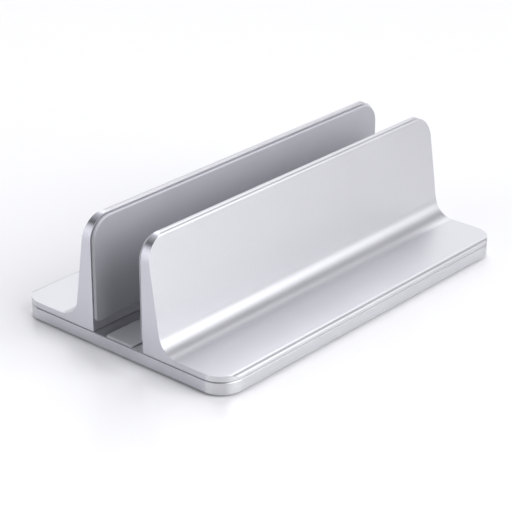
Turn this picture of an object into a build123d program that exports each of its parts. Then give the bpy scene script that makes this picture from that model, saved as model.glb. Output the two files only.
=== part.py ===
from build123d import *
import math
import os

# Vertical laptop stand.
# Two L-section uprights stand on a base plate, and a laptop stands on its edge between them.
# Screws from below clamp each upright through slots across the plate, so the uprights slide inwards
# to suit a thinner laptop. X runs along the laptop, Y across it, and Z up from the desk. Millimetres.

# Base plate
base_length = 170.0
base_width = 106.6
base_thickness = 5.2
plan_corner_radius = 10.0
base_top_edge_break = 0.3
base_bottom_edge_round = 0.6

# Uprights, extruded along X and milled at their ends
upright_height = 47.1
flange_thickness = 2.7
flange_tip_round = 2.0
flange_seam_gap = 0.35
flange_seam_depth = 1.6
wall_root_thickness = 9.5
wall_top_thickness = 3.0
root_fillet_radius = 9.0
top_corner_radius = 10.0
upright_outer_edge_round = 1.7
upright_inner_edge_round = 0.6
upright_foot_edge_break = 0.5

# Space between the bare inner faces of the uprights at the widest setting
wall_spacing = 26.0

# Silicone sheets on the inner faces and on the plate between them
pad_edge_round = 0.4
wall_pad_thickness = 1.5
wall_pad_top_margin = 1.0
wall_pad_end_margin = 0.5
wall_pad_lift = 4.5
wall_pad_lower_corner_radius = 1.5
channel_pad_thickness = 0.8
channel_pad_width = 14.0
channel_pad_end_margin = 0.3
channel_pad_corner_radius = 1.0

# Clamp screws with low round heads, and their washers
screw_diameter = 4.0
screw_head_diameter = 7.6
screw_head_height = 2.2
screw_head_edge_round = 1.2
screw_head_recess = 0.2
screw_end_inset = 30.0
screw_tip_chamfer = 0.4
thread_engagement = 7.2
hex_key_size = 2.5
hex_key_depth = 1.3
washer_margin = 0.7
washer_thickness = 0.8

# Feet
foot_diameter = 12.0
foot_proud = 0.7
foot_recess_depth = 1.0
foot_edge_round = 0.5
foot_end_inset = 16.0
foot_side_inset = 14.0

# Clearances
slide_stop_clearance = 0.6
slot_clearance = 0.3
thread_clearance = 0.1
washer_bore_clearance = 0.15
drill_point_clearance = 0.8
foot_recess_clearance = 0.15

# Levels and half sizes that follow from the sizes above
half_length = base_length / 2
half_width = base_width / 2
half_spacing = wall_spacing / 2
base_bottom_z = foot_proud
base_top_z = base_bottom_z + base_thickness
flange_top_z = base_top_z + flange_thickness
upright_top_z = base_top_z + upright_height

# The round along the flange's long edge leaves room for the seam below it
flange_tip_radius = min(flange_tip_round, flange_thickness - 2 * flange_seam_gap)

# The round along the outer top edge leaves a narrow flat beside the inner one
outer_edge_radius = min(upright_outer_edge_round, wall_top_thickness - 2 * upright_inner_edge_round)

# The uprights slide inwards until they meet the channel pad
slide_travel = half_spacing - channel_pad_width / 2 - slide_stop_clearance

# Screw stack, from the head in its counterbore up to the tip in the upright
counterbore_depth = screw_head_recess + screw_head_height + washer_thickness
counterbore_top_z = base_bottom_z + counterbore_depth
washer_bottom_z = counterbore_top_z - washer_thickness
screw_head_bottom_z = washer_bottom_z - screw_head_height
screw_tip_z = base_top_z + thread_engagement
washer_diameter = screw_head_diameter + 2 * washer_margin
washer_bore = screw_diameter + 2 * washer_bore_clearance
screw_y = half_spacing + wall_root_thickness / 2
screw_x = half_length - screw_end_inset
foot_x = half_length - foot_end_inset
foot_y = half_width - foot_side_inset


def plan_prism(bottom_z, height):
    """Upright block with the rounded plan outline that the plate and both flanges share."""
    outline = RectangleRounded(base_length, base_width, plan_corner_radius)
    return Pos(0, 0, bottom_z) * extrude(outline, height)


def edges_at(solid, z):
    """Edges that lie in the level plane at height z."""
    return solid.edges().filter_by_position(Axis.Z, z - 1e-4, z + 1e-4)


def disc(diameter, bottom_z, height):
    """Round disc or pin about the Z axis, standing on bottom_z."""
    return Pos(0, 0, bottom_z) * extrude(Circle(diameter / 2), height)


def clamp_slot(width, bottom_z, top_z):
    """Slot across the plate that a round of that width slides along, from the widest setting inwards."""
    middle_y = screw_y - slide_travel / 2
    outline = SlotCenterToCenter(slide_travel, width, rotation=90)
    return Pos(0, middle_y, bottom_z) * extrude(outline, top_z - bottom_z)


def make_base_plate():
    plate = plan_prism(base_bottom_z, base_thickness)
    plate = chamfer(edges_at(plate, base_top_z), base_top_edge_break)
    plate = fillet(edges_at(plate, base_bottom_z), base_bottom_edge_round)
    foot_recess = disc(foot_diameter + 2 * foot_recess_clearance, base_bottom_z, foot_recess_depth)
    shank_slot = clamp_slot(screw_diameter + 2 * slot_clearance, base_bottom_z, base_top_z)
    counterbore = clamp_slot(washer_diameter + 2 * slot_clearance, base_bottom_z, counterbore_top_z)
    for x_side in (-1, 1):
        for turn in (0, 180):
            place = Rot(0, 0, turn) * Pos(x_side * screw_x, 0, 0)
            plate -= place * (shank_slot + counterbore)
        for y_side in (-1, 1):
            plate -= Pos(x_side * foot_x, y_side * foot_y, 0) * foot_recess
    return plate


def upright_section():
    """L-shaped section of the rear upright, drawn in the Y-Z plane."""
    outline = Polyline(
        (half_spacing, base_top_z + upright_foot_edge_break),
        (half_spacing + upright_foot_edge_break, base_top_z),
        (half_width, base_top_z),
        (half_width, flange_top_z),
        (half_spacing + wall_root_thickness, flange_top_z),
        (half_spacing + wall_top_thickness, upright_top_z),
        (half_spacing, upright_top_z),
        close=True,
    )
    section = make_face(outline)
    rounds = (
        (half_spacing + wall_root_thickness, flange_top_z, root_fillet_radius),
        (half_spacing + wall_top_thickness, upright_top_z, outer_edge_radius),
        (half_spacing, upright_top_z, upright_inner_edge_round),
    )
    for y, z, radius in rounds:
        corner = section.vertices().sort_by_distance((y, z, 0))[0]
        section = fillet(corner, radius)
    return section


def flange_tip_cove():
    """Bar that leaves the flange's long upper edge rounded when it is cut away."""
    centre = Pos(half_width - flange_tip_radius, flange_top_z - flange_tip_radius)
    corner = centre * Rectangle(2 * flange_tip_radius, 2 * flange_tip_radius, align=Align.MIN)
    cove = corner - centre * Circle(flange_tip_radius)
    return extrude(Plane.YZ * cove, half_length, both=True)


def flange_seam():
    """Thin frame under the flanges' outline that leaves a shadow line above the plate when it is cut away."""
    outer = RectangleRounded(base_length, base_width, plan_corner_radius)
    inner = RectangleRounded(
        base_length - 2 * flange_seam_depth,
        base_width - 2 * flange_seam_depth,
        plan_corner_radius - flange_seam_depth,
    )
    return Pos(0, 0, base_top_z) * extrude(outer - inner, flange_seam_gap)


def rounded_sheet(length, bottom_z, top_z, top_radius, bottom_radius, thickness):
    """Upright sheet in the X-Z plane with its back at Y 0, and thickness towards +Y."""
    outline = make_face(
        Polyline(
            (-length / 2, bottom_z),
            (length / 2, bottom_z),
            (length / 2, top_z),
            (-length / 2, top_z),
            close=True,
        )
    )
    top = outline.vertices().group_by(Axis.Y)[-1]
    outline = fillet(top, top_radius)
    if bottom_radius > 0:
        bottom = outline.vertices().group_by(Axis.Y)[0]
        outline = fillet(bottom, bottom_radius)
    return extrude(Plane.XZ * outline, -thickness)


def make_upright():
    """Rear upright, with the tapped holes for its two clamp screws in its lower face."""
    bar = extrude(Plane.YZ * upright_section(), half_length, both=True)
    silhouette = rounded_sheet(base_length, base_top_z, upright_top_z, top_corner_radius, 0, half_width)
    upright = bar & silhouette & plan_prism(base_top_z, upright_height)
    upright = upright - flange_tip_cove() - flange_seam()
    hole_depth = thread_engagement + drill_point_clearance
    hole = disc(screw_diameter + 2 * thread_clearance, base_top_z, hole_depth)
    for x_side in (-1, 1):
        upright -= Pos(x_side * screw_x, screw_y, 0) * hole
    return upright


def make_wall_pad():
    """Sheet stuck to the rear upright's inner face, with its free edge rounded."""
    sheet = rounded_sheet(
        base_length - 2 * wall_pad_end_margin,
        base_top_z + wall_pad_lift,
        upright_top_z - wall_pad_top_margin,
        top_corner_radius - (wall_pad_top_margin + wall_pad_end_margin) / 2,
        wall_pad_lower_corner_radius,
        wall_pad_thickness,
    )
    sheet = fillet(sheet.faces().sort_by(Axis.Y)[0].edges(), pad_edge_round)
    return Pos(0, half_spacing - wall_pad_thickness, 0) * sheet


def make_channel_pad():
    length = base_length - 2 * channel_pad_end_margin
    outline = RectangleRounded(length, channel_pad_width, channel_pad_corner_radius)
    pad = Pos(0, 0, base_top_z) * extrude(outline, channel_pad_thickness)
    return fillet(edges_at(pad, base_top_z + channel_pad_thickness), pad_edge_round)


def make_screw():
    head = disc(screw_head_diameter, screw_head_bottom_z, screw_head_height)
    head = fillet(edges_at(head, screw_head_bottom_z), screw_head_edge_round)
    socket = extrude(RegularPolygon(hex_key_size / 2, 6, major_radius=False), hex_key_depth)
    shank = disc(screw_diameter, washer_bottom_z, screw_tip_z - washer_bottom_z)
    shank = chamfer(edges_at(shank, screw_tip_z), screw_tip_chamfer)
    return head + shank - Pos(0, 0, screw_head_bottom_z) * socket


def make_washer():
    washer = disc(washer_diameter, washer_bottom_z, washer_thickness)
    return washer - disc(washer_bore, washer_bottom_z, washer_thickness)


def make_foot():
    foot = disc(foot_diameter, 0, foot_proud + foot_recess_depth)
    return fillet(edges_at(foot, 0), foot_edge_round)


def make_parts():
    """Every piece in its place at the widest setting, by name."""
    parts = {"base_plate": make_base_plate(), "channel_pad": make_channel_pad()}
    upright = make_upright()
    wall_pad = make_wall_pad()
    screw = make_screw()
    washer = make_washer()
    foot = make_foot()
    for side, turn in (("rear", 0), ("front", 180)):
        parts[f"{side}_upright"] = Rot(0, 0, turn) * upright
        parts[f"{side}_pad"] = Rot(0, 0, turn) * wall_pad
        y_side = math.copysign(1, 90 - turn)
        for end, x_side in (("left", -1), ("right", 1)):
            at_screw = Pos(x_side * screw_x, y_side * screw_y, 0)
            parts[f"{side}_{end}_screw"] = at_screw * screw
            parts[f"{side}_{end}_washer"] = at_screw * washer
            parts[f"{side}_{end}_foot"] = Pos(x_side * foot_x, y_side * foot_y, 0) * foot
    return parts


os.makedirs("parts", exist_ok=True)
for name, solid in make_parts().items():
    export_step(solid, f"parts/{name}.step")
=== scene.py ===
import math
from collections import namedtuple

import bmesh
import bpy
from bpy.props import FloatProperty, FloatVectorProperty, IntProperty, PointerProperty
from mathutils import Matrix, Vector


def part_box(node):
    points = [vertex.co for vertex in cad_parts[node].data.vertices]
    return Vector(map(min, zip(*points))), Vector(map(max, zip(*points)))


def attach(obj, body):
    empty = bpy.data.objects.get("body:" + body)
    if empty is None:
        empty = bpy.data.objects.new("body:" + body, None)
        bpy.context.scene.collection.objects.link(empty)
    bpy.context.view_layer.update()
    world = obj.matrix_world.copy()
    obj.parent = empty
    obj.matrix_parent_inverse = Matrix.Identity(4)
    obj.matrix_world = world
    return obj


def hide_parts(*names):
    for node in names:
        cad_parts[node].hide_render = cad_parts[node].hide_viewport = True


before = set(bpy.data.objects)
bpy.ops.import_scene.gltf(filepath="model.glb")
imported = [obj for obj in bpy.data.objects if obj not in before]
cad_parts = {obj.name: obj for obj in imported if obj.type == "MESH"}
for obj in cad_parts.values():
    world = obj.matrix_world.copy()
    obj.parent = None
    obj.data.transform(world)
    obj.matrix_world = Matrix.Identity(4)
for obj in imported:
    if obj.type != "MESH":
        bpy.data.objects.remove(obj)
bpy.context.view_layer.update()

bl_info = {
    "name": "Vertical laptop stand",
    "version": (1, 0, 0),
    "blender": (4, 5, 0),
    "location": "3D View > Sidebar > Stand",
    "description": "Finishes the aluminium, adds the silicone, screws and feet, and sets a photo stage",
    "category": "Object",
}

MM = 0.001
SIDES = ("front", "rear")
ENDS = ("left", "right")
SILICONE = "moulded_silicone"

# Steps along the rounds of the meshes, and the angle from which an edge is shaded as sharp
CORNER_STEPS = 14
EDGE_STEPS = 8
ROLL_STEPS = 4
SCREW_SEGMENTS = 48
ROUND_SEGMENTS = 64
SHARP_ANGLE = math.radians(32)

# Width of the camera's sensor in millimetres, and nearest distance that it sees and half width of the
# table in metres
SENSOR_WIDTH = 36
CLIP_START = 0.05
TABLE_REACH = 4.0
TABLE_CELLS = 8

# Softboxes and pale walls about the stage, with all angles in degrees. The turn is counted from +X and the
# rise from the horizon. A light is full up to one angle from its middle and has faded out at the other.
# At level 1 it is white.
Light = namedtuple("Light", "name turn rise full fade level")
LIGHTS = (
    Light("front softbox", turn=284, rise=29, full=11, fade=41, level=3.75),
    Light("rear right softbox", turn=41, rise=53, full=5, fade=23, level=2.65),
    Light("rear left softbox", turn=154, rise=14, full=7, fade=39, level=1.64),
    Light("rear wall", turn=49, rise=10, full=30, fade=80, level=0.8),
    Light("left wall", turn=195, rise=15, full=15, fade=60, level=0.2),
    Light("right wall", turn=330, rise=10, full=15, fade=65, level=0.1),
    Light("ceiling", turn=0, rise=90, full=15, fade=50, level=0.36),
)


# Settings


class StandMetalSettings(bpy.types.PropertyGroup):
    """Finish of the aluminium plate and uprights"""

    blasted_colour: FloatVectorProperty(
        name="Blasted colour",
        description="Colour of the bead-blasted and anodised faces",
        subtype="COLOR",
        min=0,
        max=1,
        default=(0.645, 0.645, 0.665),
    )
    # The milled finish is real, but its darker colour is painted shade on the ends of the stand
    milled_shaded_colour: FloatVectorProperty(
        name="Milled colour",
        description="Colour of the milled ends",
        subtype="COLOR",
        min=0,
        max=1,
        default=(0.54, 0.54, 0.585),
    )
    blasted_roughness: FloatProperty(
        name="Blasted roughness",
        description="Roughness of the bead-blasted faces",
        subtype="FACTOR",
        min=0,
        max=1,
        default=0.38,
    )
    milled_roughness: FloatProperty(
        name="Milled roughness",
        description="Roughness of the milled ends",
        subtype="FACTOR",
        min=0,
        max=1,
        default=0.24,
    )
    bead_mark: FloatProperty(
        name="Bead mark",
        description="Width of the dimples that the bead blast leaves",
        unit="LENGTH",
        default=0.22 * MM,
    )
    line_pitch: FloatProperty(
        name="Line pitch",
        description="Spacing of the cutter's lines on the milled ends",
        unit="LENGTH",
        default=0.16 * MM,
    )


class StandSiliconeSettings(bpy.types.PropertyGroup):
    """Silicone sheets on the uprights and the plate"""

    colour: FloatVectorProperty(
        name="Colour",
        description="Colour of the silicone",
        subtype="COLOR",
        min=0,
        max=1,
        default=(0.475, 0.475, 0.51),
    )
    # Lighter colour on the rounded rim of a sheet: a painted highlight for light caught by the edge
    rim_highlight_colour: FloatVectorProperty(
        name="Rim colour",
        description="Colour of the rounded and trimmed rim of a sheet",
        subtype="COLOR",
        min=0,
        max=1,
        default=(0.6, 0.6, 0.64),
    )
    roughness: FloatProperty(
        name="Roughness",
        description="Roughness of the moulded face",
        subtype="FACTOR",
        min=0,
        max=1,
        default=0.4,
    )
    edge_round: FloatProperty(
        name="Edge round",
        description="Radius along the free edge of a sheet",
        unit="LENGTH",
        default=0.4 * MM,
    )
    glue_line: FloatProperty(
        name="Glue line",
        description="Thickness of the glue between a sheet and the metal",
        unit="LENGTH",
        default=0.1 * MM,
    )
    upper_corner: FloatProperty(
        name="Upper corner",
        description="Radius of the upper corners of a wall sheet",
        unit="LENGTH",
        default=9.25 * MM,
    )
    lower_corner: FloatProperty(
        name="Lower corner",
        description="Radius of the lower corners of a wall sheet",
        unit="LENGTH",
        default=1.5 * MM,
    )
    strip_corner: FloatProperty(
        name="Strip corner",
        description="Radius of the corners of the strip in the channel",
        unit="LENGTH",
        default=1.0 * MM,
    )


class StandFastenerSettings(bpy.types.PropertyGroup):
    """Clamp screws and their washers"""

    colour: FloatVectorProperty(
        name="Colour",
        description="Colour of the plated steel",
        subtype="COLOR",
        min=0,
        max=1,
        default=(0.56, 0.56, 0.57),
    )
    head_height: FloatProperty(
        name="Head height",
        description="Height of a screw's head",
        unit="LENGTH",
        default=2.2 * MM,
    )
    head_round: FloatProperty(
        name="Head round",
        description="Radius round the edge of a screw's head",
        unit="LENGTH",
        default=1.2 * MM,
    )
    socket_width: FloatProperty(
        name="Socket width",
        description="Width across the flats of the hexagon socket",
        unit="LENGTH",
        default=2.5 * MM,
    )
    socket_depth: FloatProperty(
        name="Socket depth",
        description="Depth of the hexagon socket",
        unit="LENGTH",
        default=1.3 * MM,
    )
    thread_diameter: FloatProperty(
        name="Thread diameter",
        description="Outer diameter of the thread",
        unit="LENGTH",
        default=4.0 * MM,
    )
    thread_pitch: FloatProperty(
        name="Thread pitch",
        description="Rise of the thread in one turn",
        unit="LENGTH",
        default=0.7 * MM,
    )
    washer_bore: FloatProperty(
        name="Washer bore",
        description="Diameter of the hole in a washer",
        unit="LENGTH",
        default=4.3 * MM,
    )
    washer_roll: FloatProperty(
        name="Washer roll",
        description="Radius of the rolled lower edges of a washer",
        unit="LENGTH",
        default=0.15 * MM,
    )


class StandFootSettings(bpy.types.PropertyGroup):
    """Rubber feet under the plate"""

    colour: FloatVectorProperty(
        name="Colour",
        description="Colour of the rubber",
        subtype="COLOR",
        min=0,
        max=1,
        default=(0.035, 0.035, 0.037),
    )
    edge_round: FloatProperty(
        name="Edge round",
        description="Radius round the lower edge of a foot",
        unit="LENGTH",
        default=0.5 * MM,
    )
    groove_depth: FloatProperty(
        name="Groove depth",
        description="Depth of the grip grooves in the underside",
        unit="LENGTH",
        default=0.3 * MM,
    )
    groove_count: IntProperty(
        name="Grooves",
        description="Number of ring grooves in the underside",
        min=0,
        max=4,
        default=2,
    )


class StandStageSettings(bpy.types.PropertyGroup):
    """Camera, table and lights of the photo stage"""

    camera_azimuth: FloatProperty(
        name="Camera azimuth",
        description="Turn of the camera about the stand, from straight in front",
        subtype="ANGLE",
        default=math.radians(-48.811),
    )
    camera_elevation: FloatProperty(
        name="Camera elevation",
        description="Height of the camera above the horizon",
        subtype="ANGLE",
        default=math.radians(25.128),
    )
    camera_roll: FloatProperty(
        name="Camera roll",
        description="Turn of the camera about its line of sight",
        subtype="ANGLE",
        default=math.radians(0.071),
    )
    camera_distance: FloatProperty(
        name="Camera distance",
        description="Distance from the camera to the point it aims at",
        unit="LENGTH",
        default=765.153 * MM,
    )
    camera_aim: FloatVectorProperty(
        name="Camera aim",
        description="Point in the middle of the picture",
        subtype="TRANSLATION",
        default=(0.306 * MM, 6.185 * MM, 9.836 * MM),
    )
    camera_lens: FloatProperty(
        name="Camera lens",
        description="Focal length in millimetres on a sensor 36 mm wide",
        default=132.68,
    )
    table_colour: FloatVectorProperty(
        name="Table colour",
        description="Colour of the table as it is seen, also in the metal",
        subtype="COLOR",
        min=0,
        max=1,
        default=(1.0, 1.0, 1.0),
    )
    table_bounce: FloatVectorProperty(
        name="Table bounce",
        description="Colour of the table for the soft light that it throws back",
        subtype="COLOR",
        min=0,
        max=1,
        default=(0.12, 0.12, 0.12),
    )
    light_colour: FloatVectorProperty(
        name="Light colour",
        description="Colour of the softboxes and pale walls",
        subtype="COLOR",
        min=0,
        max=1,
        default=(0.965, 0.965, 1.0),
    )


# Shader nodes


class NodeMaker:
    """Adds nodes to one tree and links them as it goes"""

    def __init__(self, tree):
        self.tree = tree

    def add(self, kind, **values):
        node = self.tree.nodes.new(kind)
        for name, value in values.items():
            setattr(node, name, value)
        return node

    def feed(self, socket, value):
        """Links a socket to another, or sets it to a plain value."""
        if isinstance(value, bpy.types.NodeSocket):
            self.tree.links.new(value, socket)
        else:
            socket.default_value = value

    def fill(self, node, **values):
        """Feeds a node's inputs by their labels, written small and with underscores, and gives its outputs."""
        for label, value in values.items():
            self.feed(node.inputs[label.replace("_", " ").title()], value)
        return node.outputs

    def math(self, operation, *values):
        node = self.add("ShaderNodeMath", operation=operation)
        for socket, value in zip(node.inputs, values):
            self.feed(socket, value)
        return node.outputs[0]

    def vary(self, value, pattern, share):
        """A value raised by a share of a pattern."""
        return self.math("MULTIPLY_ADD", pattern, share, value)

    def vector(self, operation, first, second, output="Vector"):
        node = self.add("ShaderNodeVectorMath", operation=operation)
        self.feed(node.inputs[0], first)
        self.feed(node.inputs[1], second)
        return node.outputs[output]

    def ramp(self, value, low, high, top=1.0):
        """Rises softly from nought at one value to its top at another."""
        node = self.add("ShaderNodeMapRange", interpolation_type="SMOOTHSTEP")
        return self.fill(node, value=value, from_min=low, from_max=high, to_max=top)["Result"]

    def mix(self, factor, first, second):
        node = self.add("ShaderNodeMix", data_type="FLOAT")
        return self.fill(node, factor=factor, a=first, b=second)["Result"]

    def mix_colour(self, factor, first, second):
        node = self.add("ShaderNodeMix", data_type="RGBA")
        inputs = {socket.identifier: socket for socket in node.inputs}
        self.feed(inputs["Factor_Float"], factor)
        self.feed(inputs["A_Color"], opaque(first))
        self.feed(inputs["B_Color"], opaque(second))
        return next(socket for socket in node.outputs if socket.identifier == "Result_Color")

    def shaded(self, colour, factor):
        """A colour made lighter or darker by a varying factor."""
        node = self.add("ShaderNodeVectorMath", operation="SCALE")
        return self.fill(node, vector=colour, scale=factor)["Vector"]

    def object_place(self):
        return self.add("ShaderNodeTexCoord").outputs["Object"]

    def noise(self, place, scale, detail, roughness=0.5):
        node = self.add("ShaderNodeTexNoise")
        return self.fill(node, vector=place, scale=scale, detail=detail, roughness=roughness)["Fac"]

    def bump(self, height, strength, distance):
        node = self.add("ShaderNodeBump")
        return self.fill(node, height=height, strength=strength, distance=distance)["Normal"]

    def group(self, name, **values):
        return self.fill(self.add("ShaderNodeGroup", node_tree=shared_group(name)), **values)


def opaque(colour):
    """A plain colour with its alpha."""
    return (*colour, 1.0)


def open_group(name, inputs, outputs):
    """New node group with its maker, the sockets that it is given and those that it puts out."""
    group = bpy.data.node_groups.new(name, "ShaderNodeTree")
    for label, kind, default in inputs:
        socket = group.interface.new_socket(label, in_out="INPUT", socket_type=kind)
        socket.default_value = default
    for label in outputs:
        group.interface.new_socket(label, in_out="OUTPUT", socket_type="NodeSocketFloat")
    maker = NodeMaker(group)
    return maker, maker.add("NodeGroupInput").outputs, maker.add("NodeGroupOutput").inputs


def around_nought(maker, pattern):
    """A pattern between nought and one, lowered so that it lightens as much as it darkens."""
    return maker.math("SUBTRACT", pattern, 0.5)


def make_bead_blast():
    """Overlapping dimples of a bead blast, under a slightly uneven anodised skin."""
    coarse_scale = 0.31
    coarse_in_height = 0.4
    coarse_in_tone = 0.6
    inputs = (("Mark", "NodeSocketFloat", 0.22 * MM),)
    maker, given, put = open_group("bead_blast", inputs, ("Height", "Tone"))
    place = maker.object_place()
    scale = maker.math("DIVIDE", 1.0, given["Mark"])
    fine = maker.noise(place, scale, detail=2.0, roughness=0.6)
    coarse = maker.noise(place, maker.math("MULTIPLY", scale, coarse_scale), detail=1.0)
    maker.feed(put["Height"], maker.mix(coarse_in_height, fine, coarse))
    maker.feed(put["Tone"], around_nought(maker, maker.mix(coarse_in_tone, fine, coarse)))


def make_cut_lines():
    """Lines that a cutter leaves. The pattern changes fast across them and slowly along them."""
    band_scale = 0.12
    band_in_tone = 0.5
    inputs = (("Pitch", "NodeSocketFloat", 0.16 * MM), ("Across", "NodeSocketVector", (0.0, 1.0, 0.02)))
    maker, given, put = open_group("cut_lines", inputs, ("Height", "Tone"))
    drawn = maker.vector("MULTIPLY", maker.object_place(), given["Across"])
    scale = maker.math("DIVIDE", 1.0, given["Pitch"])
    lines = maker.noise(drawn, scale, detail=2.0, roughness=0.65)
    bands = maker.noise(drawn, maker.math("MULTIPLY", scale, band_scale), detail=1.0)
    maker.feed(put["Height"], lines)
    maker.feed(put["Tone"], around_nought(maker, maker.mix(band_in_tone, lines, bands)))


def make_facing():
    """One where the surface faces along an axis, either way, and nought elsewhere."""
    inputs = (
        ("Axis", "NodeSocketVector", (1.0, 0.0, 0.0)),
        ("Low", "NodeSocketFloat", 0.85),
        ("High", "NodeSocketFloat", 0.98),
    )
    maker, given, put = open_group("facing", inputs, ("Mask",))
    normal = maker.add("ShaderNodeTexCoord").outputs["Normal"]
    along = maker.math("ABSOLUTE", maker.vector("DOT_PRODUCT", normal, given["Axis"], "Value"))
    maker.feed(put["Mask"], maker.ramp(along, given["Low"], given["High"]))


def make_handling():
    """Soft patches where hands and cloths have been."""
    inputs = (("Patch", "NodeSocketFloat", 28 * MM),)
    maker, given, put = open_group("handling", inputs, ("Tone",))
    scale = maker.math("DIVIDE", 1.0, given["Patch"])
    patches = maker.noise(maker.object_place(), scale, detail=4.0, roughness=0.55)
    maker.feed(put["Tone"], around_nought(maker, patches))


GROUP_MAKERS = {
    "bead_blast": make_bead_blast,
    "cut_lines": make_cut_lines,
    "facing": make_facing,
    "handling": make_handling,
}


def shared_group(name):
    if name not in bpy.data.node_groups:
        GROUP_MAKERS[name]()
    return bpy.data.node_groups[name]


# Materials


def open_material(name):
    """New material with its maker and its shader's inputs."""
    material = bpy.data.materials.new(name)
    material.use_nodes = True
    shader = material.node_tree.nodes["Principled BSDF"]
    return material, NodeMaker(material.node_tree), shader.inputs


def anodised_aluminium(name, settings, across):
    """Bead-blasted and anodised aluminium, milled where it faces the ends of the stand and not its sides, with
    painted shade in the darker colour of the milled ends.
    """
    mark_shade, haze_shade = 0.1, 0.03
    mark_roughness, haze_roughness = 0.12, 0.08
    material, maker, shader = open_material(name)
    blast = maker.group("bead_blast", mark=settings.bead_mark)
    lines = maker.group("cut_lines", pitch=settings.line_pitch, across=across)
    ends = maker.group("facing", axis=(1, 0, 0), low=0.15, high=0.35)["Mask"]
    sides = maker.group("facing", axis=(0, 1, 0), low=0.05, high=0.2)["Mask"]
    milled = maker.math("MULTIPLY", ends, maker.math("SUBTRACT", 1.0, sides))
    marks = maker.mix(milled, blast["Tone"], lines["Tone"])
    haze = maker.group("handling", patch=28 * MM)["Tone"]
    # Milled ends take a darker colour: a real finish, darkened as painted shade
    colour = maker.mix_colour(milled, settings.blasted_colour, settings.milled_shaded_colour)
    shade = maker.vary(maker.vary(1.0, marks, mark_shade), haze, haze_shade)
    maker.feed(shader["Base Color"], maker.shaded(colour, shade))
    shader["Metallic"].default_value = 1.0
    rough = maker.mix(milled, settings.blasted_roughness, settings.milled_roughness)
    rough = maker.vary(maker.vary(rough, haze, haze_roughness), marks, mark_roughness)
    maker.feed(shader["Roughness"], rough)
    height = maker.mix(milled, blast["Height"], lines["Height"])
    maker.feed(shader["Normal"], maker.bump(height, strength=0.25, distance=0.02 * MM))
    return material


def moulded_silicone(name, settings):
    """Matt silicone with a fine grain, with a painted highlight round the rim of a sheet."""
    grain_size = 0.35 * MM
    base_shade, grain_shade, haze_shade = 0.95, 0.1, 0.1
    haze_roughness = 0.12
    material, maker, shader = open_material(name)
    grain = maker.noise(maker.object_place(), 1 / grain_size, detail=2.0, roughness=0.6)
    haze = maker.group("handling", patch=17 * MM)["Tone"]
    # Faces that point neither across the sheet nor up are its rim, which gets a lighter colour as a painted
    # highlight
    upright = maker.group("facing", axis=(0, 1, 0), low=0.85, high=0.99)["Mask"]
    level = maker.group("facing", axis=(0, 0, 1), low=0.85, high=0.99)["Mask"]
    rim_highlight = maker.math("SUBTRACT", 1.0, maker.math("MAXIMUM", upright, level))
    colour = maker.mix_colour(rim_highlight, settings.colour, settings.rim_highlight_colour)
    shade = maker.vary(maker.vary(base_shade, grain, grain_shade), haze, haze_shade)
    maker.feed(shader["Base Color"], maker.shaded(colour, shade))
    maker.feed(shader["Roughness"], maker.vary(settings.roughness, haze, haze_roughness))
    shader["Specular IOR Level"].default_value = 0.85
    maker.feed(shader["Normal"], maker.bump(grain, strength=0.3, distance=0.02 * MM))
    return material


def shared_silicone(settings):
    """The one silicone of the wall sheets and the strip."""
    return bpy.data.materials.get(SILICONE) or moulded_silicone(SILICONE, settings)


def moulded_rubber(name, settings):
    """Black rubber with a fine grain and some dust."""
    grain_size = 0.25 * MM
    dust_shade = 0.5
    base_roughness, grain_roughness = 0.62, 0.2
    material, maker, shader = open_material(name)
    grain = maker.noise(maker.object_place(), 1 / grain_size, detail=3.0, roughness=0.6)
    dust = maker.group("handling", patch=4 * MM)["Tone"]
    maker.feed(shader["Base Color"], maker.shaded(settings.colour, maker.vary(1.0, dust, dust_shade)))
    maker.feed(shader["Roughness"], maker.vary(base_roughness, grain, grain_roughness))
    shader["Specular IOR Level"].default_value = 0.35
    maker.feed(shader["Normal"], maker.bump(grain, strength=0.35, distance=0.04 * MM))
    return material


def plated_steel(name, settings, across):
    """Zinc-plated steel with the lines of its turning or rolling."""
    line_pitch = 0.09 * MM
    line_shade, haze_shade = 0.16, 0.12
    base_roughness, haze_roughness = 0.3, 0.2
    material, maker, shader = open_material(name)
    lines = maker.group("cut_lines", pitch=line_pitch, across=across)
    haze = maker.group("handling", patch=2.5 * MM)["Tone"]
    shade = maker.vary(maker.vary(1.0, lines["Tone"], line_shade), haze, haze_shade)
    maker.feed(shader["Base Color"], maker.shaded(settings.colour, shade))
    shader["Metallic"].default_value = 1.0
    maker.feed(shader["Roughness"], maker.vary(base_roughness, haze, haze_roughness))
    maker.feed(shader["Normal"], maker.bump(lines["Height"], strength=0.15, distance=0.02 * MM))
    return material


def table_top(settings):
    """Polished white table that throws less light back at the stand than it shows."""
    clouds_per_metre = 9.0
    base_roughness, cloud_roughness = 0.06, 0.04
    material, maker, shader = open_material("white_table")
    cloud = maker.noise(maker.object_place(), clouds_per_metre, detail=3.0)
    rays = maker.add("ShaderNodeLightPath").outputs
    seen = maker.math("MAXIMUM", rays["Is Camera Ray"], rays["Is Glossy Ray"])
    seen = maker.math("MAXIMUM", seen, rays["Is Transmission Ray"])
    maker.feed(shader["Base Color"], maker.mix_colour(seen, settings.table_bounce, settings.table_colour))
    maker.feed(shader["Roughness"], maker.vary(base_roughness, cloud, cloud_roughness))
    return material


def heading(turn, rise):
    """Direction from its turn about the stand, counted from +X, and its rise, in degrees."""
    turn, rise = math.radians(turn), math.radians(rise)
    return (math.cos(turn) * math.cos(rise), math.sin(turn) * math.cos(rise), math.sin(rise))


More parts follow.
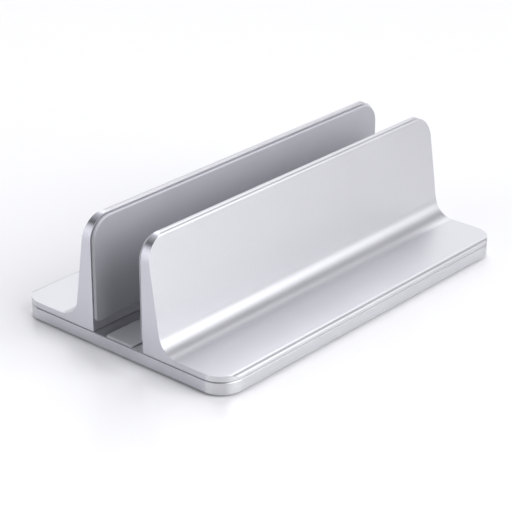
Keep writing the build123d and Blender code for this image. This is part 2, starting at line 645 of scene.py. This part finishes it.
def light_studio(world, settings):
    """Dark room with softboxes and pale walls, and plain white where the camera looks past the table."""
    world.use_nodes = True
    maker = NodeMaker(world.node_tree)
    room = world.node_tree.nodes["Background"]
    direction = maker.add("ShaderNodeTexCoord").outputs["Generated"]
    level = 0.0
    for light in LIGHTS:
        near = maker.vector("DOT_PRODUCT", direction, heading(light.turn, light.rise), "Value")
        edge = math.cos(math.radians(light.fade))
        full = math.cos(math.radians(light.full))
        glow = maker.ramp(near, edge, full, top=light.level)
        glow.node.label = light.name
        level = maker.math("ADD", level, glow)
    maker.fill(room, color=opaque(settings.light_colour), strength=level)
    backdrop = maker.add("ShaderNodeBackground")
    maker.fill(backdrop, color=opaque((1.0, 1.0, 1.0)))
    seen = maker.add("ShaderNodeMixShader")
    maker.feed(seen.inputs[0], maker.add("ShaderNodeLightPath").outputs["Is Camera Ray"])
    maker.feed(seen.inputs[1], room.outputs["Background"])
    maker.feed(seen.inputs[2], backdrop.outputs["Background"])
    maker.feed(world.node_tree.nodes["World Output"].inputs["Surface"], seen.outputs["Shader"])


# Meshes


def skin(name, rings, loop):
    """Mesh over a row of rings that have the same number of points, closed at its ends or into a loop.

    A ring of one point is a pole.
    """
    bm = bmesh.new()
    rows = [[bm.verts.new(point) for point in ring] for ring in rings]
    pairs = list(zip(rows, rows[1:]))
    if loop:
        pairs.append((rows[-1], rows[0]))
    for near, far in pairs:
        count = max(len(near), len(far))
        for i in range(count):
            j = (i + 1) % count
            corners = [near[i % len(near)], near[j % len(near)], far[j % len(far)], far[i % len(far)]]
            bm.faces.new(list(dict.fromkeys(corners)))
    for end in (rows[0], rows[-1]):
        if not loop and len(end) > 1:
            bm.faces.new(end)
    bmesh.ops.recalc_face_normals(bm, faces=bm.faces)
    mesh = bpy.data.meshes.new(name)
    bm.to_mesh(mesh)
    bm.free()
    mesh.shade_smooth()
    mesh.set_sharp_from_angle(angle=SHARP_ANGLE)
    return mesh


def add_piece(name, rings, body, slot, material, *nodes, loop=False):
    """Puts the mesh over some rings on a body, in place of CAD nodes."""
    piece = bpy.data.objects.new(name, skin(name, rings, loop))
    bpy.context.scene.collection.objects.link(piece)
    piece.data.materials.append(material)
    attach(piece, body)
    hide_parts(*nodes)


def dress(node, material):
    """Gives a CAD node one material."""
    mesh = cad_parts[node].data
    mesh.materials.clear()
    mesh.materials.append(material)


def box_of(node):
    low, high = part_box(node)
    return Vector(low), Vector(high)


def round_nodes(kind):
    """Side, corner, box and upright middle line of each of the four round pieces of a kind."""
    for side in SIDES:
        for end in ENDS:
            low, high = box_of(f"{side}_{end}_{kind}")
            middle = Vector(((low.x + high.x) / 2, (low.y + high.y) / 2, 0))
            yield side, f"{side}_{end}", low, high, middle


def rounded_outline(low, high, radii, inset):
    """Rectangle in the plane with rounded corners, as points in turn from the lower left."""
    points = []
    corners = ((low[0], low[1]), (high[0], low[1]), (high[0], high[1]), (low[0], high[1]))
    inward = ((1, 1), (-1, 1), (-1, -1), (1, -1))
    for index, (corner, way, radius) in enumerate(zip(corners, inward, radii)):
        centre = (corner[0] + way[0] * radius, corner[1] + way[1] * radius)
        reach = radius - inset
        for step in range(CORNER_STEPS + 1):
            angle = math.pi + (index + step / CORNER_STEPS) * math.pi / 2
            points.append((centre[0] + reach * math.cos(angle), centre[1] + reach * math.sin(angle)))
    return points


def sheet_profile(settings, thickness):
    """Steps across the edge of a sheet from its glued back to its free face, as inset and height."""
    glue = settings.glue_line
    edge = settings.edge_round
    steps = [(2 * glue, 0.0), (2 * glue, glue), (0.5 * glue, 1.2 * glue), (0.0, 2 * glue)]
    for step in range(EDGE_STEPS + 1):
        angle = step / EDGE_STEPS * math.pi / 2
        steps.append((edge * (1 - math.cos(angle)), thickness - edge * (1 - math.sin(angle))))
    steps.append((edge + 2 * glue, thickness))
    return steps


def ring(reach, z, segments):
    """Level ring about the Z axis, with its reach at each angle given by a function."""
    points = []
    for i in range(segments):
        angle = 2 * math.pi * i / segments
        radius = reach(angle)
        points.append(Vector((radius * math.cos(angle), radius * math.sin(angle), z)))
    return points


def circle(radius, z, segments):
    return ring(lambda angle: radius, z, segments)


def hexagon(width, z, segments):
    """Six-sided ring with its corners on every sixth part of the turn."""
    sixth = math.pi / 3
    return ring(lambda angle: width / 2 / math.cos(angle % sixth - sixth / 2), z, segments)


def arc_rings(radius, z, bend, start, end, segments, steps=EDGE_STEPS):
    """Rings along an arc of a turned profile about (radius, z), between two angles in degrees."""
    rings = []
    for step in range(steps + 1):
        angle = math.radians(start + (end - start) * step / steps)
        rings.append(circle(radius + bend * math.cos(angle), z + bend * math.sin(angle), segments))
    return rings


def moved(rings, place):
    return [[point + place for point in points] for points in rings]


def thread_rings(settings, start, end):
    """Screw thread from a low level to a high one. It deepens from its start and narrows at its tip."""
    rows_per_turn = 8
    run_in = 0.8 * MM
    tip_chamfer = 0.5 * MM
    flat_share = 0.14
    pitch = settings.thread_pitch
    depth = 0.6 * pitch
    outer = settings.thread_diameter / 2
    count = round((end - start) / pitch * rows_per_turn)

    def reach(angle, z):
        cut = depth * min(1.0, (z - start) / run_in)
        widest = outer - max(0.0, tip_chamfer - (end - z))
        phase = (z - start) / pitch - angle / (2 * math.pi)
        ridge = (abs(2 * (phase % 1.0) - 1) - flat_share) / (1 - 2 * flat_share)
        return min(outer - cut * (1 - min(1.0, max(0.0, ridge))), widest)

    levels = [start + (end - start) * row / count for row in range(count + 1)]
    return [ring(lambda angle: reach(angle, z), z, SCREW_SEGMENTS) for z in levels]


def screw_rings(settings, head_radius, low, high):
    """Turned profile of a clamp screw, from the bottom of its socket round its head and up the thread."""
    socket_point = 0.3 * MM
    socket_mouth = 0.15 * MM
    corner_over_flat = 1.16
    rim_break = 0.08 * MM
    neck_width, neck_height = 0.02 * MM, 0.1 * MM
    thread_start = 1.2 * MM
    bearing = low + settings.head_height
    edge = settings.head_round
    shank = settings.thread_diameter / 2
    socket = settings.socket_width
    socket_top = low + settings.socket_depth
    rings = [
        [Vector((0, 0, socket_top + socket_point))],
        hexagon(socket, socket_top, SCREW_SEGMENTS),
        hexagon(socket, low + socket_mouth, SCREW_SEGMENTS),
        circle(socket / 2 * corner_over_flat + socket_mouth, low, SCREW_SEGMENTS),
    ]
    rings += arc_rings(head_radius - edge, low + edge, edge, -90, 0, SCREW_SEGMENTS)
    rings += [
        circle(head_radius, bearing - rim_break, SCREW_SEGMENTS),
        circle(head_radius - rim_break, bearing, SCREW_SEGMENTS),
        circle(shank + neck_width, bearing, SCREW_SEGMENTS),
        circle(shank, bearing + neck_height, SCREW_SEGMENTS),
    ]
    return rings + thread_rings(settings, bearing + thread_start, high)


def washer_rings(settings, outer, low, high):
    """Section of a washer, rolled over at its lower edges and left almost sharp at its upper ones."""
    burr = 0.04 * MM
    roll = settings.washer_roll
    bore = settings.washer_bore / 2
    rings = [circle(bore, high - burr, ROUND_SEGMENTS), circle(bore, low + roll, ROUND_SEGMENTS)]
    rings += arc_rings(bore + roll, low + roll, roll, 180, 270, ROUND_SEGMENTS, ROLL_STEPS)
    rings += arc_rings(outer - roll, low + roll, roll, -90, 0, ROUND_SEGMENTS, ROLL_STEPS)
    rings += [
        circle(outer, high - burr, ROUND_SEGMENTS),
        circle(outer - burr, high, ROUND_SEGMENTS),
        circle(bore + burr, high, ROUND_SEGMENTS),
    ]
    return rings


def foot_rings(settings, outer, low, high):
    """Turned profile of a foot, from the middle of its grooved underside to its glued top."""
    top_break = 0.1 * MM
    groove_profile = ((-1.4, 0.0), (-1.0, 0.3), (-0.6, 1.0), (0.6, 1.0), (1.0, 0.3), (1.4, 0.0))
    deep = settings.groove_depth
    edge = settings.edge_round
    rings = [[Vector((0, 0, low))]]
    for groove in range(settings.groove_count):
        middle = outer * (groove + 1) / (settings.groove_count + 1)
        for across, depth in groove_profile:
            rings.append(circle(middle + across * deep, low + depth * deep, ROUND_SEGMENTS))
    rings += arc_rings(outer - edge, low + edge, edge, -90, 0, ROUND_SEGMENTS)
    rings.append(circle(outer, high - top_break, ROUND_SEGMENTS))
    rings.append(circle(outer - top_break, high, ROUND_SEGMENTS))
    return rings


# Operators


class STAND_OT_finish_plate(bpy.types.Operator):
    """Gives the base plate its blasted faces and milled ends"""

    bl_idname = "stand.finish_plate"
    bl_label = "Finish base plate"

    def execute(self, context):
        settings = context.scene.stand_metal
        dress("base_plate", anodised_aluminium("anodised_plate", settings, across=(0.02, 0.02, 1.0)))
        return {"FINISHED"}


class STAND_OT_finish_uprights(bpy.types.Operator):
    """Gives both uprights their blasted faces and milled ends"""

    bl_idname = "stand.finish_uprights"
    bl_label = "Finish uprights"

    def execute(self, context):
        settings = context.scene.stand_metal
        material = anodised_aluminium("anodised_upright", settings, across=(0.02, 1.0, 0.02))
        for side in SIDES:
            dress(f"{side}_upright", material)
        return {"FINISHED"}


class STAND_OT_mould_wall_sheets(bpy.types.Operator):
    """Makes the silicone sheets on the inner faces of the uprights"""

    bl_idname = "stand.mould_wall_sheets"
    bl_label = "Mould wall sheets"

    def execute(self, context):
        settings = context.scene.stand_silicone
        material = shared_silicone(settings)
        radii = (settings.lower_corner,) * 2 + (settings.upper_corner,) * 2
        for side in SIDES:
            low, high = box_of(f"{side}_pad")
            back, way = (low.y, 1) if side == "front" else (high.y, -1)
            rings = []
            for inset, height in sheet_profile(settings, high.y - low.y):
                outline = rounded_outline((low.x, low.z), (high.x, high.z), radii, inset)
                rings.append([Vector((u, back + way * height, v)) for u, v in outline])
            add_piece(f"{side}_wall_sheet", rings, side, "grey_silicone", material, f"{side}_pad")
        return {"FINISHED"}


class STAND_OT_mould_channel_strip(bpy.types.Operator):
    """Makes the silicone strip that the laptop's edge rests on"""

    bl_idname = "stand.mould_channel_strip"
    bl_label = "Mould channel strip"

    def execute(self, context):
        settings = context.scene.stand_silicone
        material = shared_silicone(settings)
        low, high = box_of("channel_pad")
        rings = []
        for inset, height in sheet_profile(settings, high.z - low.z):
            outline = rounded_outline(low, high, (settings.strip_corner,) * 4, inset)
            rings.append([Vector((u, v, low.z + height)) for u, v in outline])
        add_piece("channel_strip", rings, "base", "grey_silicone", material, "channel_pad")
        return {"FINISHED"}


class STAND_OT_turn_screws(bpy.types.Operator):
    """Makes the four clamp screws with their threads and sockets"""

    bl_idname = "stand.turn_screws"
    bl_label = "Turn clamp screws"

    def execute(self, context):
        settings = context.scene.stand_fasteners
        material = plated_steel("plated_screw", settings, across=(0.05, 0.05, 1.0))
        for side, corner, low, high, middle in round_nodes("screw"):
            rings = moved(screw_rings(settings, high.x - middle.x, low.z, high.z), middle)
            add_piece(f"{corner}_clamp_screw", rings, side, "screw_steel", material, f"{corner}_screw")
        return {"FINISHED"}


class STAND_OT_stamp_washers(bpy.types.Operator):
    """Makes the four washers with their rolled edges"""

    bl_idname = "stand.stamp_washers"
    bl_label = "Stamp washers"

    def execute(self, context):
        settings = context.scene.stand_fasteners
        material = plated_steel("plated_washer", settings, across=(1.0, 0.05, 0.05))
        for side, corner, low, high, middle in round_nodes("washer"):
            rings = moved(washer_rings(settings, high.x - middle.x, low.z, high.z), middle)
            name = f"{corner}_plain_washer"
            add_piece(name, rings, side, "washer_steel", material, f"{corner}_washer", loop=True)
        return {"FINISHED"}


class STAND_OT_mould_feet(bpy.types.Operator):
    """Makes the four rubber feet with grip grooves underneath"""

    bl_idname = "stand.mould_feet"
    bl_label = "Mould feet"

    def execute(self, context):
        settings = context.scene.stand_foot
        material = moulded_rubber("black_rubber", settings)
        for _, corner, low, high, middle in round_nodes("foot"):
            rings = moved(foot_rings(settings, high.x - middle.x, low.z, high.z), middle)
            add_piece(f"{corner}_rubber_foot", rings, "base", "foot_rubber", material, f"{corner}_foot")
        return {"FINISHED"}


class STAND_OT_set_stage(bpy.types.Operator):
    """Sets the camera, the white table and the light"""

    bl_idname = "stand.set_stage"
    bl_label = "Set photo stage"

    def execute(self, context):
        settings = context.scene.stand_stage
        scene = context.scene
        scene.view_settings.view_transform = "Standard"
        self.set_camera(scene, settings)
        self.set_table(scene, settings)
        scene.world = bpy.data.worlds.new("studio")
        light_studio(scene.world, settings)
        return {"FINISHED"}

    def set_camera(self, scene, settings):
        turn, rise = settings.camera_azimuth, settings.camera_elevation
        back = Vector((math.sin(turn) * math.cos(rise), -math.cos(turn) * math.cos(rise), math.sin(rise)))
        right = Vector((math.cos(turn), math.sin(turn), 0))
        axes = Matrix((right, back.cross(right), back)).transposed()
        roll = Matrix.Rotation(settings.camera_roll, 3, "Z")
        place = Vector(settings.camera_aim) + back * settings.camera_distance
        camera = bpy.data.objects.new("camera", bpy.data.cameras.new("camera"))
        camera.data.lens = settings.camera_lens
        camera.data.sensor_width = SENSOR_WIDTH
        camera.data.clip_start = CLIP_START
        camera.matrix_world = Matrix.Translation(place) @ (axes @ roll).to_4x4()
        scene.collection.objects.link(camera)
        scene.camera = camera

    def set_table(self, scene, settings):
        bm = bmesh.new()
        bmesh.ops.create_grid(bm, x_segments=TABLE_CELLS, y_segments=TABLE_CELLS, size=TABLE_REACH)
        mesh = bpy.data.meshes.new("white_table")
        bm.to_mesh(mesh)
        bm.free()
        table = bpy.data.objects.new("white_table", mesh)
        scene.collection.objects.link(table)
        table.data.materials.append(table_top(settings))


# Panel and start


class STAND_PT_sidebar(bpy.types.Panel):
    """Lists the stand's operators and settings"""

    bl_idname = "STAND_PT_sidebar"
    bl_label = "Vertical laptop stand"
    bl_space_type = "VIEW_3D"
    bl_region_type = "UI"
    bl_category = "Stand"

    def draw(self, context):
        for operator in OPERATORS:
            self.layout.operator(operator.bl_idname)
        for name in SETTINGS:
            group = getattr(context.scene, name)
            box = self.layout.box()
            for prop in group.bl_rna.properties:
                if prop.identifier not in ("rna_type", "name"):
                    box.prop(group, prop.identifier)


SETTINGS = {
    "stand_metal": StandMetalSettings,
    "stand_silicone": StandSiliconeSettings,
    "stand_fasteners": StandFastenerSettings,
    "stand_foot": StandFootSettings,
    "stand_stage": StandStageSettings,
}

OPERATORS = (
    STAND_OT_set_stage,
    STAND_OT_finish_plate,
    STAND_OT_finish_uprights,
    STAND_OT_mould_wall_sheets,
    STAND_OT_mould_channel_strip,
    STAND_OT_turn_screws,
    STAND_OT_stamp_washers,
    STAND_OT_mould_feet,
)


def register():
    for name, group in SETTINGS.items():
        bpy.utils.register_class(group)
        setattr(bpy.types.Scene, name, PointerProperty(type=group))
    for operator in OPERATORS:
        bpy.utils.register_class(operator)
    bpy.utils.register_class(STAND_PT_sidebar)


def unregister():
    bpy.utils.unregister_class(STAND_PT_sidebar)
    for operator in reversed(OPERATORS):
        bpy.utils.unregister_class(operator)
    for name, group in reversed(SETTINGS.items()):
        delattr(bpy.types.Scene, name)
        bpy.utils.unregister_class(group)


def main():
    register()
    for operator in OPERATORS:
        family, name = operator.bl_idname.split(".")
        getattr(getattr(bpy.ops, family), name)()


if __name__ == "__main__":
    main()
